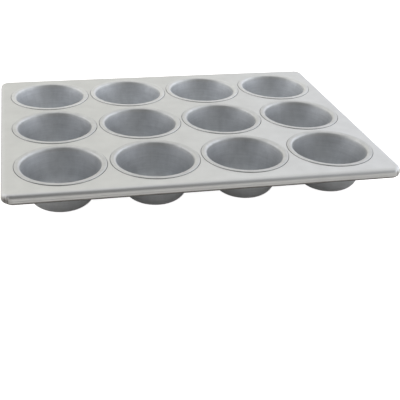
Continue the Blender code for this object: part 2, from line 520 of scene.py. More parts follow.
@dataclass
class Wiring:
    """Adds nodes to a node tree, and feeds their inputs with sockets or plain values."""

    tree: Tree

    def add(
        self, kind: str, given: dict[str | int, Any] | None = None, **settings: Any
    ) -> Sockets:
        """Add a node.

        Args:
            kind: Blender's name of the kind.
            given: A socket or a plain value for each input, by its name or number.
            **settings: The node's own settings.

        Returns:
            The node's outputs.
        """
        node = self.tree.nodes.new(kind)
        for name, value in settings.items():
            setattr(node, name, value)
        self.feed(node, given or {})
        return node.outputs

    def feed(self, node: bpy.types.Node, given: dict[str | int, Any]) -> None:
        """Link each socket to the node's input, or set a plain value as its number.

        Args:
            node: The node.
            given: A socket or a plain value for each input, by its name or number.
        """
        for name, value in given.items():
            if isinstance(value, Socket):
                self.tree.links.new(value, node.inputs[name])
            else:
                node.inputs[name].default_value = value

    def math(self, operation: str, first: Any, second: Any = 0.0, clamp: bool = False) -> Socket:
        """Work out one sum of two numbers or sockets, kept within 0 and 1 if clamped."""
        given = {0: first, 1: second}
        return self.add("ShaderNodeMath", given, operation=operation, use_clamp=clamp)[0]

    def noise(self, vector: Any, scale: Any, detail: float, roughness: float) -> Socket:
        """Add a noise texture and give its value's socket."""
        given = {"Vector": vector, "Scale": scale, "Detail": detail, "Roughness": roughness}
        return self.add("ShaderNodeTexNoise", given)["Fac"]

    def mix(self, share: Any, first: Any, second: Any, blend: str = "MIX") -> Socket:
        """Mix two colours by a share and give the mixture's socket."""
        given = {MIX_SHARE: share, MIX_FIRST: first, MIX_SECOND: second}
        return self.add("ShaderNodeMix", given, data_type="RGBA", blend_type=blend)[MIX_RESULT]

    def tinted(self, colour: Any, tint: Any) -> Socket:
        """Multiply a colour by another or by a number and give the product's socket."""
        return self.mix(1.0, colour, tint, "MULTIPLY")

    def spread(self, value: Any, low: float, high: float) -> Socket:
        """Spread a value from 0..1 over low..high and give its socket."""
        given = {"Value": value, "To Min": low, "To Max": high}
        return self.add("ShaderNodeMapRange", given)["Result"]

    def fade(self, value: Any, start: float, stop: float, low: float, high: float) -> Socket:
        """Go smoothly from low at the start to high at the stop, and stay level beyond."""
        given = {"Value": value, "From Min": start, "From Max": stop, "To Min": low, "To Max": high}
        return self.add("ShaderNodeMapRange", given, interpolation_type="SMOOTHSTEP")["Result"]

    def mark(self, name: str, output: str = "Fac") -> Socket:
        """Read an attribute of the mesh."""
        return self.add("ShaderNodeAttribute", attribute_name=name)[output]

    def place(self) -> Socket:
        """Read the place on the piece, which is in the pan's own space."""
        return self.add("ShaderNodeTexCoord")["Object"]


def new_group(
    name: str, inputs: dict[str, Any], outputs: Sequence[str]
) -> tuple[Wiring, Sockets, bpy.types.Node]:
    """Start a shader node group with named sockets.

    An input that starts with nothing is a vector, one with four numbers is a colour and
    one with a single number is a value. The output Color is a colour, others are values.

    Args:
        name: Name of the group.
        inputs: Start value of each input.
        outputs: Name of each output.

    Returns:
        The group's wiring, the sockets that it is given and the node that takes its results.
    """
    tree = bpy.data.node_groups.new(name, "ShaderNodeTree")
    for label, start in inputs.items():
        kind = "Vector" if start is None else "Color" if isinstance(start, tuple) else "Float"
        socket = tree.interface.new_socket(label, in_out="INPUT", socket_type=f"NodeSocket{kind}")
        if start is not None:
            socket.default_value = start
    for label in outputs:
        kind = "Color" if label == "Color" else "Float"
        tree.interface.new_socket(label, in_out="OUTPUT", socket_type=f"NodeSocket{kind}")
    wiring = Wiring(tree)
    return wiring, wiring.add("NodeGroupInput"), tree.nodes.new("NodeGroupOutput")


def coat_group() -> Tree:
    """Make the group for the mottled grey coat of the steel, shared by all its pieces.

    The tone is one and a half times broad clouds plus half a fine grain, less a half. It
    shifts the colour between the two tones and the roughness round its middle. The
    colour is then multiplied by one plus the painted light mark, which paints light onto
    the steel, and as far as the heat mark says by the heat tint. The height is the grain,
    for a Bump node.

    Returns:
        The node group.
    """
    wiring, given, made = new_group(
        "steel_coat",
        {
            "Vector": None,
            "Light Tone": (0.66, 0.66, 0.65, 1.0),
            "Dark Tone": (0.58, 0.58, 0.57, 1.0),
            "Cloud Scale": 40.0,
            "Grain Scale": 1400.0,
            "Roughness": 0.42,
            "Roughness Range": 0.08,
            "Bright": 0.0,
            "Heat Tint": WHITE,
            "Heat": 0.0,
        },
        ("Color", "Roughness", "Height"),
    )
    cloud_share, grain_share, middle = 1.5, 0.5, 0.5
    clouds = wiring.noise(given["Vector"], given["Cloud Scale"], detail=4.0, roughness=0.6)
    grain = wiring.noise(given["Vector"], given["Grain Scale"], detail=2.0, roughness=0.6)
    broad = wiring.math("MULTIPLY", clouds, cloud_share)
    both = wiring.math("ADD", broad, wiring.math("MULTIPLY", grain, grain_share))
    tone = wiring.math("SUBTRACT", both, middle, clamp=True)
    mixed = wiring.mix(tone, given["Dark Tone"], given["Light Tone"])
    # painted light: the colour is made lighter by this share
    shown = wiring.tinted(mixed, wiring.math("ADD", given["Bright"], 1.0))
    heated = wiring.mix(given["Heat"], WHITE, given["Heat Tint"])
    swing = wiring.math("SUBTRACT", tone, middle)
    swing = wiring.math("MULTIPLY", swing, given["Roughness Range"])
    rough = wiring.math("SUBTRACT", given["Roughness"], swing)
    wiring.feed(made, {"Color": wiring.tinted(shown, heated), "Roughness": rough, "Height": grain})
    return wiring.tree


def cover_group(
    name: str,
    tone: Tone,
    roughness: float,
    noise: tuple[float, float, float],
    patches: tuple[float, float],
) -> Tree:
    """Make a group for what covers the coat in patches where a mark says so.

    Its share is the mark times a noise times the amount. There the colour and the
    roughness go to the cover's own.

    Args:
        name: Name of the group.
        tone: The cover's own colour.
        roughness: The cover's own roughness.
        noise: Scale, detail and roughness of the noise that breaks it up.
        patches: What the noise's 0 and 1 count for.

    Returns:
        The node group.
    """
    wiring, given, made = new_group(
        name,
        {
            "Vector": None,
            "Mark": 0.0,
            "Amount": 0.5,
            "Color": GREY,
            "Cover Tone": (*tone, 1.0),
            "Roughness": 0.4,
            "Cover Roughness": roughness,
        },
        ("Color", "Roughness"),
    )
    broken = wiring.spread(wiring.noise(given["Vector"], *noise), *patches)
    share = wiring.math("MULTIPLY", given["Mark"], broken)
    share = wiring.math("MULTIPLY", share, given["Amount"], clamp=True)
    change = wiring.math("SUBTRACT", given["Cover Roughness"], given["Roughness"])
    change = wiring.math("MULTIPLY", change, share)
    rough = wiring.math("ADD", given["Roughness"], change)
    colour = wiring.mix(share, given["Color"], given["Cover Tone"])
    wiring.feed(made, {"Color": colour, "Roughness": rough})
    return wiring.tree


def lines_group() -> Tree:
    """Make the group for the faint lines that rolling or drawing leaves in sheet.

    The lines are a noise on a vector stretched along them, so the caller's vector sets
    which way they run. The colour is multiplied by one less the noise times the strength.

    Returns:
        The node group.
    """
    start = {"Vector": None, "Scale": 900.0, "Strength": 0.1, "Color": GREY}
    wiring, given, made = new_group("sheet_lines", start, ("Color", "Height"))
    lines = wiring.noise(given["Vector"], given["Scale"], detail=3.0, roughness=0.7)
    shade = wiring.math("SUBTRACT", 1.0, wiring.math("MULTIPLY", lines, given["Strength"]))
    wiring.feed(made, {"Color": wiring.tinted(given["Color"], shade), "Height": lines})
    return wiring.tree


@dataclass(frozen=True)
class SharedGroups:
    """The node groups that several finishes use."""

    coat: Tree = field(default_factory=coat_group)
    lines: Tree = field(default_factory=lines_group)
    wear: Tree = field(default_factory=lambda: cover_group(
        "rubbed_bends", (0.72, 0.72, 0.71), 0.3, noise=(260.0, 4.0, 0.65), patches=(0.2, 1.2)
    ))
    # painted shade: a dark cover laid where the painted shade mark says
    shade_paint: Tree = field(default_factory=lambda: cover_group(
        "painted_shade_folds", (0.17, 0.16, 0.15), 0.6, noise=(120.0, 3.0, 0.6), patches=(0.6, 1.2)
    ))


@dataclass(frozen=True)
class SheetFinish:
    """A coated steel finish: its tones, grain, lines and wear.

    Attributes:
        lines: Stretch and strength of each set of lines.
        heat_levels: Height up to which the heat tint is full, and at which it has gone.
        follows_sheet: Whether patterns lie on the wrap attribute and not on the place.
    """

    name: str
    light_tone: Tone
    dark_tone: Tone
    bare_tone: Tone
    roughness: float
    cloud_scale: float
    grain_scale: float
    lines: tuple[tuple[Tone, float], ...]
    wear: float
    bump: float
    bump_height: float = 0.0001
    line_scale: float = 900.0
    # amount of painted shade
    painted_shade: float = 0.95
    heat_tint: Tone = (1.0, 1.0, 1.0)
    heat_levels: tuple[float, float] = (0.04, 0.046)
    follows_sheet: bool = False

    def material(self, groups: SharedGroups) -> Material:
        """Build the material: the coat, its lines, the rubbed bends and the painted shade.

        Args:
            groups: The shared node groups.

        Returns:
            The material.
        """
        material = bpy.data.materials.new(self.name)
        material.use_nodes = True
        wiring = Wiring(material.node_tree)
        height = wiring.add("ShaderNodeSeparateXYZ", {0: wiring.place()})["Z"]
        spot = wiring.mark("wrap", "Vector") if self.follows_sheet else wiring.place()
        coat = wiring.add(
            "ShaderNodeGroup",
            {
                "Vector": spot,
                "Light Tone": (*self.light_tone, 1.0),
                "Dark Tone": (*self.dark_tone, 1.0),
                "Cloud Scale": self.cloud_scale,
                "Grain Scale": self.grain_scale,
                "Roughness": self.roughness,
                # painted light from the mesh attribute
                "Bright": wiring.mark("bright"),
                "Heat Tint": (*self.heat_tint, 1.0),
                "Heat": wiring.fade(height, *self.heat_levels, 1.0, 0.0),
            },
            node_tree=groups.coat,
        )
        colour, rough, relief = coat["Color"], coat["Roughness"], coat["Height"]
        for stretch, strength in self.lines:
            along = wiring.add("ShaderNodeMapping", {"Vector": spot, "Scale": stretch})["Vector"]
            own = {"Vector": along, "Scale": self.line_scale, "Strength": strength}
            given = {**own, "Color": colour}
            lines = wiring.add("ShaderNodeGroup", given, node_tree=groups.lines)
            colour = lines["Color"]
            relief = wiring.math("ADD", relief, lines["Height"])
        bare_tone = (*self.bare_tone, 1.0)
        rubbed = {"Mark": wiring.mark("rub"), "Amount": self.wear, "Cover Tone": bare_tone}
        # painted shade: the dark cover where the mesh's painted shade mark says
        shade_cover = {"Mark": wiring.mark("painted_shade"), "Amount": self.painted_shade}
        for group, own in ((groups.wear, rubbed), (groups.shade_paint, shade_cover)):
            given = {"Vector": spot, "Color": colour, "Roughness": rough, **own}
            cover = wiring.add("ShaderNodeGroup", given, node_tree=group)
            colour, rough = cover["Color"], cover["Roughness"]
        given = {"Strength": self.bump, "Distance": self.bump_height, "Height": relief}
        normal = wiring.add("ShaderNodeBump", given)["Normal"]
        shader = material.node_tree.nodes["Principled BSDF"]
        given = {"Metallic": 1.0, "Base Color": colour, "Roughness": rough, "Normal": normal}
        wiring.feed(shader, given)
        return material


PLATE_COAT = SheetFinish(
    name="plate_coat",
    light_tone=(0.66, 0.66, 0.645),
    dark_tone=(0.6, 0.6, 0.585),
    bare_tone=(0.72, 0.72, 0.71),
    roughness=0.42,
    cloud_scale=45.0,
    grain_scale=1500.0,
    lines=(((0.04, 1.0, 1.0), 0.05),),
    wear=0.35,
    bump=0.12,
)
CUP_COAT = SheetFinish(
    name="cup_coat",
    light_tone=(0.775, 0.775, 0.758),
    dark_tone=(0.656, 0.656, 0.642),
    bare_tone=(0.7, 0.7, 0.7),
    roughness=0.54,
    cloud_scale=110.0,
    grain_scale=1500.0,
    lines=(((1.0, 1.0, 0.04), 0.08), ((0.05, 0.05, 1.0), 0.25)),
    wear=0.25,
    bump=0.15,
    line_scale=420.0,
    heat_tint=(0.968, 0.988, 1.03),
    follows_sheet=True,
)
WIRE_DRAWN = SheetFinish(
    name="wire_drawn",
    light_tone=(0.5, 0.5, 0.5),
    dark_tone=(0.42, 0.42, 0.42),
    bare_tone=(0.6, 0.6, 0.6),
    roughness=0.35,
    cloud_scale=80.0,
    grain_scale=2000.0,
    lines=(((0.05, 0.05, 1.0), 0.1),),
    wear=0.0,
    bump=0.1,
)


# the cups


@dataclass
class Cups:
    """The twelve drawn cups. Sizes are in metres, on the inner face.

    Attributes:
        row_painted_light: Painted light, how much lighter the cups of each row are painted, as a
            share.
        floor_painted_highlight: Painted highlight, how much lighter still a cup's floor is painted
            inside.
        floor_painted_highlight_to: Height above the floor at which that has faded out.
        pattern_step: How far the pattern moves along the sheet from cup to cup.
    """

    layout: Layout
    seam: LockSeam
    unevenness: SheetUnevenness
    mouth_radius: float = 0.0452
    floor_radius: float = 0.0337
    floor_fillet: float = 0.016
    mouth_bend: float = 0.0035
    ring_fold: float = 0.0009
    foot_fold: float = 0.0007
    turn_steps: int = 144
    run_step: float = 0.003
    # painted light: the back row is painted lighter, the front one a little darker
    row_painted_light: tuple[float, float, float] = (-0.035, 0.005, 0.12)
    # painted highlight on the cups' floors inside
    floor_painted_highlight: float = 0.3
    floor_painted_highlight_to: float = 0.016
    pattern_step: float = 0.37

    def section(self) -> SectionLine:
        """Finished face of a cup, from the middle of its floor to the end of its foot.

        Returns:
            The line, with its reach counted from the cup's axis.
        """
        seam = self.seam
        corners = [
            (0.0, seam.cup_sheet, 0.0, 0),
            (self.floor_radius, seam.cup_sheet, self.floor_fillet, 12),
            (self.mouth_radius, seam.cup_top, self.mouth_bend, 7),
            (seam.leg_radius, seam.cup_top, self.ring_fold, 5),
            (seam.leg_radius, seam.foot_level, self.foot_fold, 4),
            (seam.foot_end_radius, seam.foot_level, 0.0, 0),
        ]
        return bent_line(corners, self.run_step)

    def shell(self, centre: Array, number: int, bright: float) -> Shell:
        """Turn the section round the cup's axis.

        The point at turn t of a section point (reach, height) is the centre plus reach
        times (cos t, sin t), at the height. The wrap attribute is (cos t, sin t) times
        the mouth's radius and the length along the sheet, moved on for each cup. The
        inner face is painted lighter down to its floor, a painted highlight, and the row's
        share of painted light is added to the whole cup.

        Args:
            centre: Centre of the cup in plan.
            number: Number of the cup, which moves its pattern on.
            bright: Painted light, how much lighter than its finish the cup is painted, as a share.

        Returns:
            The closed shell.
        """
        section = self.section()
        outline, rub = section.round_the_sheet(self.seam.cup_sheet)
        lengths = np.linalg.norm(np.diff(outline, axis=0), axis=1)
        along = np.concatenate([[0.0], np.cumsum(lengths)]) + self.pattern_step * number
        spoke = circle(self.turn_steps)
        rings = outline[1:-1]
        grid = lifted(centre + rings[:, None, :1] * spoke, rings[:, None, 1:])
        wound = np.broadcast_to(self.mouth_radius * spoke, (len(rings), *spoke.shape))
        # painted shade in the seam's gap, on the cup's turned-down edge
        painted_shade = self.seam.painted_shade(rings[:, 0], rings[:, 1], self.seam.leg_radius)
        shell = Shell()
        first = shell.add_grid(grid, rub[1:-1], painted_shade, lifted(wound, along[1:-1, None, None]))
        last = first + (len(rings) - 1) * self.turn_steps
        for end, ring in ((0, first), (-1, last)):
            middle = np.array([[*centre, outline[end, 1]]])
            spot = np.array([[0.0, 0.0, along[end]]])
            pole = shell.add_points(middle, np.zeros(1), np.zeros(1), spot)
            shell.add_cap(pole, ring, self.turn_steps)
        # painted highlight: the inner face is painted lighter down to its floor
        low = np.clip(1.0 - (rings[:, 1] - self.seam.cup_sheet) / self.floor_painted_highlight_to, 0.0, 1.0)
        low[len(section.points) - 1:] = 0.0
        inner_pole, outer_pole = 1.0, 0.0
        painted_floor_share = np.concatenate([np.repeat(low, self.turn_steps), [inner_pole, outer_pole]])
        shell.bright = bright + self.floor_painted_highlight * painted_floor_share
        shell.move(self.unevenness.settle)
        return shell

    def build(self, finish: Material) -> None:
        """Build every cup in its place.

        Args:
            finish: The cups' material.
        """
        for number, (node, column, row) in enumerate(self.layout.places()):
            shell = self.shell(self.layout.centre(column, row), number, self.row_painted_light[row])
            place(f"{node}_drawn", shell, node, finish)


# the frame and its wire


@dataclass(frozen=True)
class RolledRim:
    """Sizes of the frame's rolled edge, in metres and radians.

    Attributes:
        bead_proud: How far the roll stands out past the upright skirt.
        roll_end: How far the sheet goes round the wire, from the roll's outermost point.
        land: Width of the flat strip between the plate's last points and a bend.
        corner_tuck: How far the foot of the rim draws in at the middle of a corner.
        front_strip: Width of the strip along the front whose points stray from true.
    """

    half_length: float
    half_width: float
    plate_level: float
    corner_radius: float = 0.012
    height: float = 0.0112
    bend_radius: float = 0.0058
    bead_proud: float = 0.0004
    wire_radius: float = 0.0022
    wire_gap: float = 0.0004
    sheet: float = 0.0006
    roll_end: float = math.radians(250.0)
    waist_radius: float = 0.002
    land: float = 0.0004
    corner_tuck: float = 0.0013
    front_strip: float = 0.016
    front_twist: float = 0.0007
    front_deeper: float = 0.00085
    front_taper: float = 0.00045

    @property
    def bead_radius(self) -> float:
        """Radius of the outer face of the roll."""
        return self.wire_radius + self.wire_gap + self.sheet

    @property
    def wire_level(self) -> float:
        """Height of the wire's middle."""
        return self.plate_level - self.height + self.bead_radius

    @property
    def plate_inset(self) -> float:
        """Distance from the outermost line to where the flat plate ends."""
        return self.bead_proud + self.bend_radius + self.land

    def tuck(self, spoke: Array, heights: Array) -> Array:
        """How far the rim draws in at its corners, growing from the bend down to the roll.

        Round a corner it is the most in the middle and nothing at the two ends, as the
        sine of twice the spoke's angle. Down the rim it grows with the depth squared.

        Args:
            spoke: Spoke of each point round the pan.
            heights: Height of each row of the rim.

        Returns:
            The distance as rows × points.
        """
        round_it = 2.0 * np.abs(spoke[:, 0] * spoke[:, 1])
        down_it = np.clip((self.plate_level - self.sheet - heights) / self.height, 0.0, 1.0) ** 2
        return self.corner_tuck * down_it[:, None] * round_it[None, :]

    def stray(self, points: Array) -> Array:
        """Move points of the front edge as far from true as those of the pan in the photo.

        The edge stands a little high at its left end and low at its right one, and its
        roll is deeper, the more so to the left. Both fade in across the front strip.

        Args:
            points: One point a row.

        Returns:
            The moved points.
        """
        inner = self.front_strip - self.half_width
        share = np.clip((inner - points[:, 1]) / self.front_strip, 0.0, 1.0)
        share = share * share * (3.0 - 2.0 * share)
        across = points[:, 0] / self.half_length
        down_it = np.clip((self.plate_level - points[:, 2]) / self.height, 0.0, 1.0)
        deeper = (self.front_deeper - self.front_taper * across) * down_it
        moved = points.copy()
        moved[:, 2] -= share * (self.front_twist * across + deeper)
        return moved

    def split(self, outline: Array) -> tuple[Array, Array]:
        """Split points of a line round the pan into a core point and a spoke each.

        The core point is the nearest one of the rectangle that is the outline less its
        corner radius, and the spoke is the unit vector from it to the point.

        Args:
            outline: One (x, y) a row.

        Returns:
            The core points and the spokes.
        """
        reach = np.array([self.half_length, self.half_width]) - self.corner_radius
        core = np.clip(outline, -reach, reach)
        spoke = outline - core
        return core, spoke / np.linalg.norm(spoke, axis=1, keepdims=True)


@dataclass(frozen=True)
class Crease:
    """One small upright crease in a corner of the rim, or a patch of painted shade there, in
    metres.

    Attributes:
        corner: Signs of the corner's X and Y.
        angle: Degrees round the corner, from the front or back side to the end.
        depth: Depth in the middle of the crease.
        width: Distance from its middle at which it has faded to a third.
        painted_shade: Painted shade in its middle, 0 to 1.
    """

    corner: tuple[int, int]
    angle: float
    depth: float
    width: float
    painted_shade: float


@dataclass
class SheetFrame:
    """The frame: a flat plate with hemmed holes and a rolled edge, from one sheet.

    Attributes:
        side_steps: Points on each side of a cup's cell of the plate, corners included.
        painted_shade_from: Bead radii below the wire's middle at which the painted shade under the
            roll is full.
        crease_end: Height over which the creases fade above the roll's lowest line.
    """

    layout: Layout
    seam: LockSeam
    rim: RolledRim
    unevenness: SheetUnevenness
    collar_bend: float = 0.0006
    shelf_bend: float = 0.0003
    hem_bend: float = 0.0003
    hem_step: float = 0.006
    side_steps: int = 28
    corner_steps: int = 13
    plate_rows: int = 6
    bend_steps: int = 9
    waist_steps: int = 3
    belly_steps: int = 12
    painted_shade_from: float = 0.27
    crease_end: float = 0.002
    # entries with no depth are patches of painted shade, and the creases get painted shade too
    creases: tuple[Crease, ...] = (
        Crease((-1, -1), 28.0, 0.0006, 0.0009, 1.0),
        Crease((-1, -1), 43.0, 0.0007, 0.0009, 1.0),
        Crease((-1, -1), 50.0, 0.0, 0.007, 0.85),
        Crease((1, -1), 24.0, 0.0007, 0.0009, 0.7),
        Crease((1, -1), 46.0, 0.0006, 0.0009, 0.5),
        Crease((1, -1), 60.0, 0.0, 0.005, 0.2),
        Crease((1, 1), 31.0, 0.0006, 0.0009, 0.7),
        Crease((1, 1), 52.0, 0.0007, 0.0009, 0.6),
        Crease((-1, 1), 35.0, 0.0006, 0.0009, 0.8),
        Crease((-1, 1), 57.0, 0.0006, 0.0009, 0.6),
    )

    def side(self, column: int, row: int, number: int) -> Array:
        """Outline of one side of a cell, from its start to just before its end.

        Sides are numbered from the front, anticlockwise. A corner of the plate is an
        arc, and each of the two sides that meet there has half of it.

        Args:
            column: Column of the cell.
            row: Row of the cell.
            number: Number of the side.

        Returns:
            One (x, y) a row.
        """
        rim, layout = self.rim, self.layout
        outer = np.array([rim.half_length, rim.half_width]) - rim.plate_inset
        middle = layout.centre(column, row)
        half = np.array([layout.column_pitch, layout.row_pitch]) / 2.0
        last = np.array([layout.columns - 1, len(Row) - 1])
        cell = np.array([column, row])
        low = np.where(cell == 0, -outer, middle - half)
        high = np.where(cell == last, outer, middle + half)
        corners = np.array([low, [high[0], low[1]], high, [low[0], high[1]]])
        facing = math.pi / 2.0 * (number - 1)
        radius = rim.corner_radius - rim.plate_inset
        ends = [corners[number], corners[(number + 1) % 4]]
        arcs = [np.zeros((0, 2)), np.zeros((0, 2))]
        straight = self.side_steps
        for step, corner in enumerate(ends[:]):
            if np.isclose(np.abs(corner), outer).all():
                centre = corner - np.sign(corner) * radius
                begin = facing - math.pi / 4.0 * (1 - step)
                end = begin + math.pi / 4.0
                angles = np.linspace(begin, end, self.corner_steps, endpoint=False)
                ends[step] = centre + radius * spokes(np.array(facing))
                arcs[step] = centre + radius * spokes(angles)
                straight -= self.corner_steps
        share = np.linspace(0.0, 1.0, straight, endpoint=False)[:, None]
        return np.vstack([arcs[0], ends[0] + share * (ends[1] - ends[0]), arcs[1]])

    def cell_outline(self, column: int, row: int) -> Array:
        """Closed outline of the part of the plate round one cup."""
        return np.vstack([self.side(column, row, number) for number in range(4)])

    def rim_outline(self) -> Array:
        """Closed outline of the flat plate, anticlockwise from its front left corner.

        Returns:
            One (x, y) a row.
        """
        last, top = self.layout.columns - 1, len(Row) - 1
        cells = [(column, 0, 0) for column in range(last + 1)]
        cells += [(last, row, 1) for row in range(top + 1)]
        cells += [(column, top, 2) for column in range(last, -1, -1)]
        cells += [(0, row, 3) for row in range(top, -1, -1)]
        return np.vstack([self.side(*cell) for cell in cells])

    def hem_section(self) -> SectionLine:
        """Finished face of a hole's edge: the collar, the shelf under the foot and the hem.

        The hem leans over the foot at its angle, with the seam's gap between them.

        Returns:
            The line. Its reach is minus the radius, so it grows to the hole's middle.
        """
        seam = self.seam
        shelf = seam.foot_level - seam.gap
        slope = math.tan(seam.hem_angle)
        lean = (seam.gap + seam.cup_sheet) / slope
        fold = seam.foot_end_radius - lean - seam.gap / math.sin(seam.hem_angle)
        end = seam.foot_end_radius + seam.hem_lap
        start = seam.collar_radius + self.collar_bend + self.rim.land
        corners = [
            (-start, seam.plate_level, 0.0, 0),
            (-seam.collar_radius, seam.plate_level, self.collar_bend, 4),
            (-seam.collar_radius, shelf, self.shelf_bend, 2),
            (-fold, shelf, self.hem_bend, 4),
            (-end, shelf + (end - fold) * slope, 0.0, 0),
        ]
        return bent_line(corners, self.hem_step)

    def rim_section(self) -> SectionLine:
        """Finished face of the rim, from the plate's end to the end of the roll.

        It is the top bend, the upright skirt, a hollow waist arc that touches the skirt
        and the bead, and the bead's own arc. The waist's centre is outside the skirt by
        its radius, and as far from the bead's centre as the two radii together. The
        first half of the bead's steps is its belly, which counts as a bend.

        Returns:
            The line, with its reach counted from the core of the outline.
        """
        rim, seam = self.rim, self.seam
        skirt = rim.corner_radius - rim.bead_proud
        bead = np.array([rim.corner_radius - rim.bead_radius, rim.wire_level])
        both = rim.bead_radius + rim.waist_radius
        lift = math.sqrt(both**2 - (both - rim.bead_proud) ** 2)
        waist = np.array([skirt + rim.waist_radius, rim.wire_level + lift])
        bend = np.array([skirt - rim.bend_radius, seam.plate_level - rim.bend_radius])
        meet = math.asin(lift / both)
        touch = bead + rim.bead_radius * np.array([math.cos(meet), math.sin(meet)])
        turned = np.linspace(-meet, rim.roll_end, 2 * self.belly_steps)
        roll = bead + rim.bead_radius * spokes(-turned)
        upward, outward = np.array([0.0, rim.bend_radius]), np.array([rim.bend_radius, 0.0])
        top = arc(bend, upward, outward, self.bend_steps)
        fall = np.array([[skirt, bend[1]], [skirt, (bend[1] + waist[1]) / 2.0]])
        inward = np.array([-rim.waist_radius, 0.0])
        hollow = arc(waist, inward, touch - waist, self.waist_steps)
        land = np.array([[bend[0] - rim.land, seam.plate_level]])
        points = np.vstack([land, top, fall, hollow, roll])
        bends = np.zeros(len(points))
        swell = np.sin(np.linspace(0.0, math.pi, self.bend_steps, endpoint=False))
        bends[len(land):len(land) + self.bend_steps] = swell
        belly = np.sin(np.linspace(0.0, math.pi, self.belly_steps))
        bends[-len(roll):-len(roll) + self.belly_steps] = belly
        return SectionLine(points, bends)

    def crease_marks(self, core: Array, spoke: Array, heights: Array) -> tuple[Array, Array]:
        """Depth and painted shade of the small upright creases that rolling leaves in the corners.

        Each is a bell curve of the distance round the corner from its own angle, and
        fades out above the bend and under the bead.

        Args:
            core: Core point of each point round the pan.
            spoke: Its spoke.
            heights: Height of each row of the rim.

        Returns:
            The depth and the painted shade, each as rows × points.
        """
        rim = self.rim
        angle = np.degrees(np.arctan2(np.abs(spoke[:, 0]), np.abs(spoke[:, 1])))
        corner = np.abs(spoke).min(axis=1) > MICRON
        groove, shade_paint = np.zeros(len(core)), np.zeros(len(core))
        for crease in self.creases:
            here = corner & (np.sign(core) == np.array(crease.corner)).all(axis=1)
            away = np.radians(angle - crease.angle) * rim.corner_radius
            bell = here * np.exp(-((away / crease.width) ** 2))
            groove += crease.depth * bell
            shade_paint += crease.painted_shade * bell
        top, low = rim.plate_level - rim.sheet, rim.wire_level - rim.bead_radius
        fade = np.clip((top - heights) / rim.bend_radius, 0.0, 1.0)
        fade = (fade * np.clip((heights - low) / self.crease_end, 0.0, 1.0))[:, None]
        return fade * groove, fade * np.clip(shade_paint, 0.0, 1.0)

    def shell(self) -> Shell:
        """Put the plate, the twelve hems and the rim together as one closed sheet.

        Returns:
            The shell, whose parts meet point for point.
        """
        shell = Shell()
        hem, hem_rub = self.hem_section().round_the_sheet(self.rim.sheet)
        # painted shade in the seam's gap, on the hole's collar
        hem_painted_shade = self.seam.painted_shade(-hem[:, 0], hem[:, 1], self.seam.collar_radius)
        share = np.linspace(0.0, 1.0, self.plate_rows + 1)[:, None, None]
        levels = (self.seam.plate_level, self.seam.plate_level - self.rim.sheet)
        for _, column, row in self.layout.places():
            centre = self.layout.centre(column, row)
            outline = self.cell_outline(column, row)
            bearing = np.unwrap(np.arctan2(*(outline - centre).T[::-1]))
            even = bearing[0] + FULL_TURN * np.arange(len(outline)) / len(outline)
            ring = centre - hem[:, None, :1] * spokes((bearing + even) / 2.0)
            shell.add_grid(lifted(ring, hem[:, None, 1:]), hem_rub, hem_painted_shade)
            for edge, level in zip((ring[0], ring[-1]), levels):
                shell.add_grid(lifted(edge + share * (outline - edge), level))
        core, spoke = self.rim.split(self.rim_outline())
        section = self.rim_section()
        line, rim_rub = section.round_the_sheet(self.rim.sheet)
        grooves, crease_shade = self.crease_marks(core, spoke, line[:, 1])
        # painted shade under the roll, full below the wire's middle and on the sheet's inner face
        fade = self.painted_shade_from * self.rim.bead_radius
        shade_paint = np.clip((self.rim.wire_level - line[:, 1]) / fade, 0.0, 1.0)
        shade_paint[len(section.points):] = 1.0
        reach = line[:, None, 0] - grooves - self.rim.tuck(spoke, line[:, 1])
        grid = lifted(core + reach[..., None] * spoke, line[:, None, 1:])
        shell.add_grid(grid, rim_rub, np.maximum(shade_paint[:, None], crease_shade))
        shell.move(self.rim.stray, self.unevenness.settle)
        return shell

    def build(self, finish: Material) -> None:
        """Build the frame with this finish."""
        place("frame_pressed", self.shell(), "frame", finish)


@dataclass
class RimWire:
    """The steel wire inside the rolled edge."""

    frame: SheetFrame
    sides: int = 16

    def shell(self) -> Shell:
        """Carry a circle round the pan.

        The point at turn t of the circle, beside an outline point, is the core point
        plus the spoke times the wire's reach plus radius · cos t, at the wire's level
        plus radius · sin t.

        Returns:
            The closed shell.
        """
        rim = self.frame.rim
        core, spoke = rim.split(self.frame.rim_outline())
        round_wire = rim.wire_radius * circle(self.sides)
        tuck = rim.tuck(spoke, np.full(1, rim.wire_level))[0]
        reach = rim.corner_radius - rim.bead_radius + round_wire[:, 0] - tuck[:, None]
        plan = core[:, None, :] + reach[..., None] * spoke[:, None, :]
        ring = lifted(plan, rim.wire_level + round_wire[:, 1:])
        shell = Shell()
        shell.add_grid(np.concatenate([ring, ring[:1]]))
        shell.move(rim.stray, self.frame.unevenness.settle)
        return shell

    def build(self, finish: Material) -> None:
        """Build the wire with this finish."""
        place("rim_wire_round", self.shell(), "rim_wire", finish)


# the studio


@dataclass(frozen=True)
class SoftBox:
    """One soft patch of the light, full within one cone and gone outside a wider one."""

    toward: Tone
    full_angle: float
    end_angle: float
    colour: Tone

    def lay(self, wiring: Wiring, way: Socket, under: Any) -> Socket:
        """Lay the patch over the light that is there already.

        Args:
            wiring: Wiring of the world's tree.
            way: Direction of the ray.
            under: Colour of the light below the patch.

        Returns:
            The socket of the light with the patch.
        """
        given = {0: way, 1: Vector(self.toward).normalized()}
        near = wiring.add("ShaderNodeVectorMath", given, operation="DOT_PRODUCT")["Value"]
        full, end = (math.cos(math.radians(angle)) for angle in (self.full_angle, self.end_angle))
        return wiring.mix(wiring.fade(near, end, full, 0.0, 1.0), under, (*self.colour, 1.0))


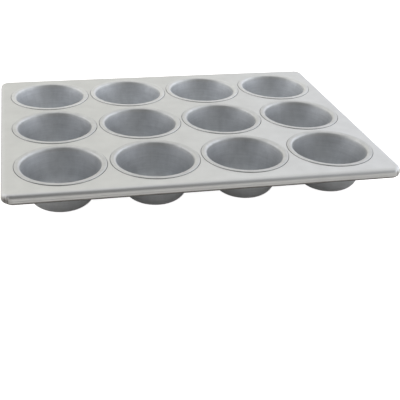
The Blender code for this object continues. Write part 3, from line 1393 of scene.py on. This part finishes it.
@dataclass(frozen=True)
class Sky:
    """The soft light round the pan: a cool surround with soft boxes laid over it."""

    surround: Tone = (1.0, 1.03, 1.08)
    boxes: tuple[SoftBox, ...] = (
        SoftBox((0.0, 0.0, 1.0), 30.0, 60.0, (0.92, 0.93, 0.95)),
        SoftBox((-0.15, -1.0, 0.15), 30.0, 85.0, (0.5, 0.51, 0.53)),
        SoftBox((-0.9, 0.42, 0.12), 18.0, 47.0, (1.46, 1.47, 1.51)),
        SoftBox((0.93, 0.37, 0.09), 19.0, 42.0, (1.5, 1.58, 1.72)),
        SoftBox((-0.12, 0.85, 0.5), 25.0, 50.0, (0.98, 0.98, 0.945)),
        SoftBox((0.62, 0.78, 0.42), 8.0, 28.0, (1.12, 1.14, 1.22)),
        SoftBox((-0.15, -1.0, 0.02), 6.0, 22.0, (0.7, 0.72, 0.75)),
        SoftBox((-0.3, -0.87, 0.52), 22.0, 52.0, (0.18, 0.18, 0.18)),
        SoftBox((0.95, -0.27, 0.14), 8.0, 26.0, (1.58, 1.64, 1.76)),
    )

    def build(self) -> None:
        """Make the world: the soft light for the pan, and plain white for the camera."""
        world = bpy.data.worlds.new("studio")
        world.use_nodes = True
        world.node_tree.nodes.clear()
        bpy.context.scene.world = world
        wiring = Wiring(world.node_tree)
        way = wiring.add("ShaderNodeTexCoord")["Generated"]
        light: Any = (*self.surround, 1.0)
        for box in self.boxes:
            light = box.lay(wiring, way, light)
        rays = wiring.add("ShaderNodeLightPath")
        straight = wiring.math("MAXIMUM", rays["Is Camera Ray"], rays["Is Transmission Ray"])
        seen = wiring.add("ShaderNodeBackground", {"Color": wiring.mix(straight, light, WHITE)})[0]
        wiring.add("ShaderNodeOutputWorld", {"Surface": seen})


@dataclass(frozen=True)
class Studio:
    """The camera, the white floor and the soft light round the pan."""

    pan_half: tuple[float, float]
    sky: Sky = Sky()
    image_size: int = 400
    focal_pixels: float = 750.3
    axis_row: float = 160.0
    azimuth: float = math.radians(-14.482)
    elevation: float = math.radians(25.456)
    roll: float = math.radians(2.688)
    eye: Tone = (-0.19733, -0.86951, 0.41529)
    sensor: float = 36.0
    nearest: float = 0.01
    farthest: float = 100.0
    floor_size: float = 12.0
    floor_drop: float = 0.0001
    floor_tone: Tone = (0.81, 0.78, 0.745)
    white_lift: float = 0.95
    gloss_lift: float = 0.17
    shade_ends: tuple[float, float] = (0.0, 0.12)
    shaded_lift: float = 0.3

    def camera(self) -> None:
        """Make the camera, from the place and the angles that fit the photograph."""
        data = bpy.data.cameras.new("camera")
        data.sensor_width = self.sensor
        data.lens = self.sensor * self.focal_pixels / self.image_size
        data.shift_y = (self.axis_row - self.image_size / 2.0) / self.image_size
        data.clip_start, data.clip_end = self.nearest, self.farthest
        camera = bpy.data.objects.new("camera", data)
        tilt = Matrix.Rotation(math.pi / 2.0 - self.elevation, 4, "X")
        roll = Matrix.Rotation(self.roll, 4, "Z")
        turn = Matrix.Rotation(self.azimuth, 4, "Z") @ tilt @ roll
        camera.matrix_world = Matrix.Translation(self.eye) @ turn
        bpy.context.scene.collection.objects.link(camera)
        bpy.context.scene.camera = camera

    def painted_shadow_mask(self, wiring: Wiring) -> Socket:
        """Mask of a painted shadow of the pan in the floor's glow, low under it and 1 well away
        from it.

        Args:
            wiring: Wiring of the floor's material.

        Returns:
            The mask's socket, a smooth rise with the distance from the pan's outline.
        """
        spot = wiring.add("ShaderNodeSeparateXYZ", {0: wiring.place()})
        squares = []
        for axis, half in enumerate(self.pan_half):
            past = wiring.math("SUBTRACT", wiring.math("ABSOLUTE", spot[axis]), half)
            away = wiring.math("MAXIMUM", past, 0.0)
            squares.append(wiring.math("MULTIPLY", away, away))
        distance = wiring.math("SQRT", wiring.math("ADD", *squares))
        return wiring.fade(distance, *self.shade_ends, self.shaded_lift, 1.0)

    def floor(self) -> None:
        """Make the pale floor.

        The camera sees it as white but for the pan's soft shadow, and sees through it
        from below, so that the pan's underside can be looked at.
        """
        half = self.floor_size / 2.0
        mesh = bpy.data.meshes.new("floor")
        corners = [(x * half, y * half, 0.0) for x, y in ((-1, -1), (1, -1), (1, 1), (-1, 1))]
        mesh.from_pydata(corners, [], [(0, 1, 2, 3)])
        material = bpy.data.materials.new("floor_white")
        material.use_nodes = True
        material.node_tree.nodes.clear()
        wiring = Wiring(material.node_tree)
        rays = wiring.add("ShaderNodeLightPath")
        gloss = wiring.math("MAXIMUM", rays["Is Glossy Ray"], rays["Is Transmission Ray"])
        # painted shadow: the glow that reflections see is dimmed under the pan
        gloss_past_painted_shadow = wiring.math("MULTIPLY", gloss, self.painted_shadow_mask(wiring))
        seen_lift = wiring.math("MULTIPLY", rays["Is Camera Ray"], self.white_lift)
        gloss_lift = wiring.math("MULTIPLY", gloss_past_painted_shadow, self.gloss_lift)
        strength = wiring.math("ADD", seen_lift, gloss_lift)
        lift = wiring.add("ShaderNodeEmission", {"Strength": strength})[0]
        pale = wiring.add("ShaderNodeBsdfDiffuse", {"Color": (*self.floor_tone, 1.0)})[0]
        both = wiring.add("ShaderNodeAddShader", {0: pale, 1: lift})[0]
        below = wiring.add("ShaderNodeNewGeometry")["Backfacing"]
        from_below = wiring.math("MULTIPLY", below, rays["Is Camera Ray"])
        clear = wiring.add("ShaderNodeBsdfTransparent")[0]
        seen = wiring.add("ShaderNodeMixShader", {0: from_below, 1: both, 2: clear})[0]
        wiring.add("ShaderNodeOutputMaterial", {"Surface": seen})
        mesh.materials.append(material)
        floor = bpy.data.objects.new("floor", mesh)
        floor.location = (0.0, 0.0, -self.floor_drop)
        bpy.context.scene.collection.objects.link(floor)

    def build(self) -> None:
        """Set up the whole studio."""
        self.camera()
        self.floor()
        self.sky.build()
        bpy.context.scene.view_settings.view_transform = "Standard"


def main() -> None:
    """Build the pan and its studio."""
    logging.basicConfig(level=logging.INFO, format="%(name)s: %(message)s")
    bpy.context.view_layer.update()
    layout, seam, unevenness = Layout(), LockSeam(), SheetUnevenness()
    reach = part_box("frame")[1]
    rim = RolledRim(half_length=reach.x, half_width=reach.y, plate_level=seam.plate_level)
    groups = SharedGroups()
    Cups(layout, seam, unevenness).build(CUP_COAT.material(groups))
    sheet_frame = SheetFrame(layout, seam, rim, unevenness)
    sheet_frame.build(PLATE_COAT.material(groups))
    RimWire(sheet_frame).build(WIRE_DRAWN.material(groups))
    Studio(pan_half=(reach.x, reach.y)).build()


if __name__ == "__main__":
    main()
